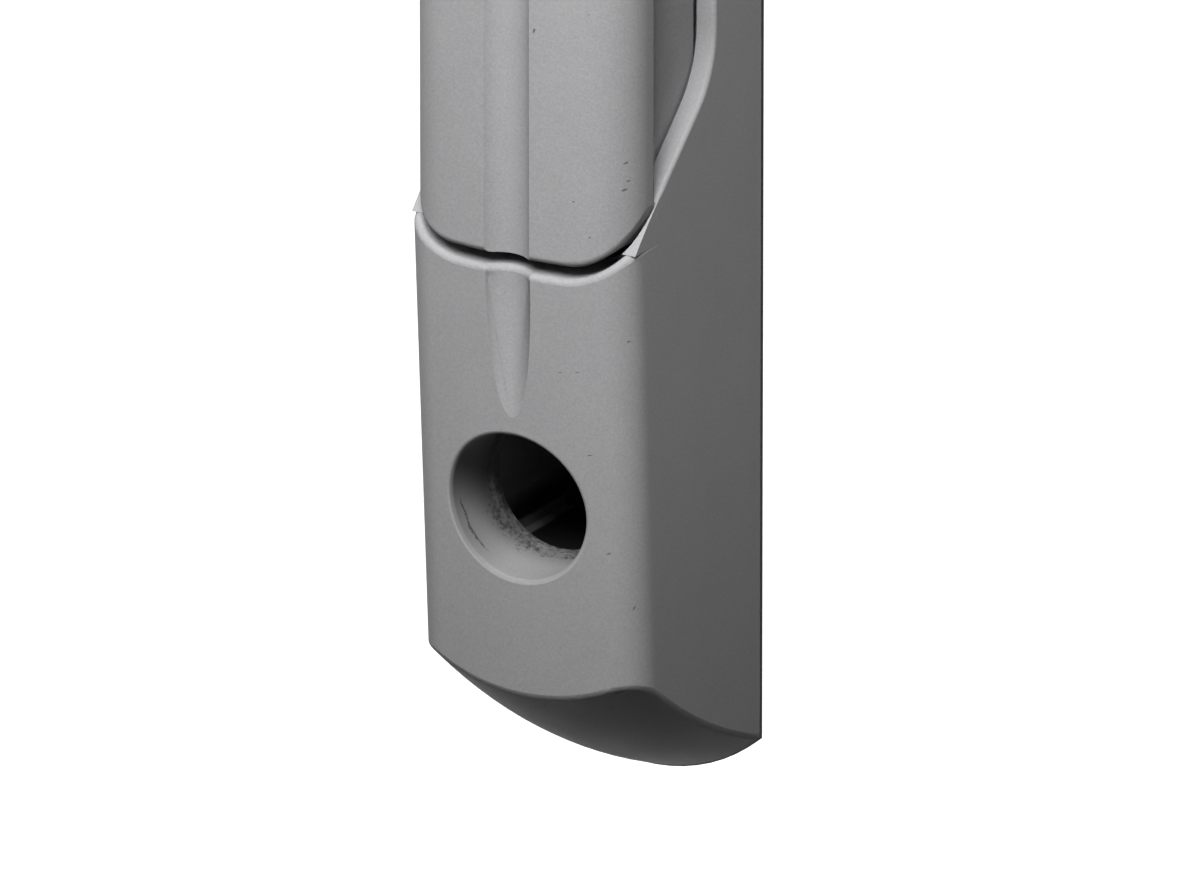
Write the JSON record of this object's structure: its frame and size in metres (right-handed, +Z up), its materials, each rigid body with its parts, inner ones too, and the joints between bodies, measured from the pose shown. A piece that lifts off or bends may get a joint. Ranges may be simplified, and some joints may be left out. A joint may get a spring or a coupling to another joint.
{
  "type": "enclosure swing handle",
  "caption": "Swing handle for a cabinet door: long crowned lever nested in a dished housing, with a round lock hole in the end block and a locking cam behind.",
  "frame": {"origin": "on the swivel axis of the lever, in the plane of the door", "axes": "+X to the right seen from the front, +Y into the door, +Z up along the handle; the lever hangs down from the origin"},
  "size_m": [0.0595, 0.0589, 0.2605],
  "materials": {
    "housing": "fine satin powder coat over a zinc die casting",
    "door_gasket": "matt black sealing rubber",
    "rotor_bush": "natural acetal",
    "stop_pin": "plain ground steel",
    "lever_buffer": "matt black rubber",
    "latch_guide": "matt black polyamide",
    "brake_spring": "spring steel strip",
    "rear_cover": "matt black polyamide",
    "cover_screws": "bright zinc plate",
    "rotor": "zinc die casting, bare",
    "rotor_o_ring": "black sealing rubber",
    "retaining_ring": "phosphated spring steel",
    "cam": "bright zinc plate",
    "cam_washer": "bright zinc plate",
    "cam_screw": "bright zinc plate",
    "lever": "fine satin powder coat over a zinc die casting",
    "lever_pin": "plain ground steel",
    "keeper_plate": "bright zinc plate",
    "keeper_screws": "bright zinc plate",
    "latch_slide": "zinc die casting, bare"
  },
  "bodies": {
    "base": {"housing": "housing", "door_gasket": "door_gasket", "rotor_bush": "rotor_bush", "stop_pin": "stop_pin", "lever_buffer": "lever_buffer", "latch_guide": "latch_guide", "brake_spring": "brake_spring", "rear_cover": "rear_cover", "cover_screws": "cover_screws"},
    "swivel": {"rotor": "rotor", "rotor_o_ring": "rotor_o_ring", "retaining_ring": "retaining_ring", "cam": "cam", "cam_washer": "cam_washer", "cam_screw": "cam_screw"},
    "handle_lever": {"lever": "lever", "lever_pin": "lever_pin", "keeper_plate": "keeper_plate", "keeper_screws": "keeper_screws"},
    "slide": {"latch_slide": "latch_slide"}
  },
  "joints": [
    {"name": "lever_swing", "type": "hinge", "parent": "base", "child": "swivel", "pos_m": [0, 0, 0], "axis": [0, -1, 0], "range_deg": [0, 90]},
    {"name": "lever_tilt", "type": "hinge", "parent": "swivel", "child": "handle_lever", "pos_m": [0, -0.022, 0], "axis": [-1, 0, 0], "range_deg": [0, 20]},
    {"name": "latch_travel", "type": "slide", "parent": "base", "child": "slide", "axis": [0, 0, 1], "range_m": [0, 0.006]}
  ]
}
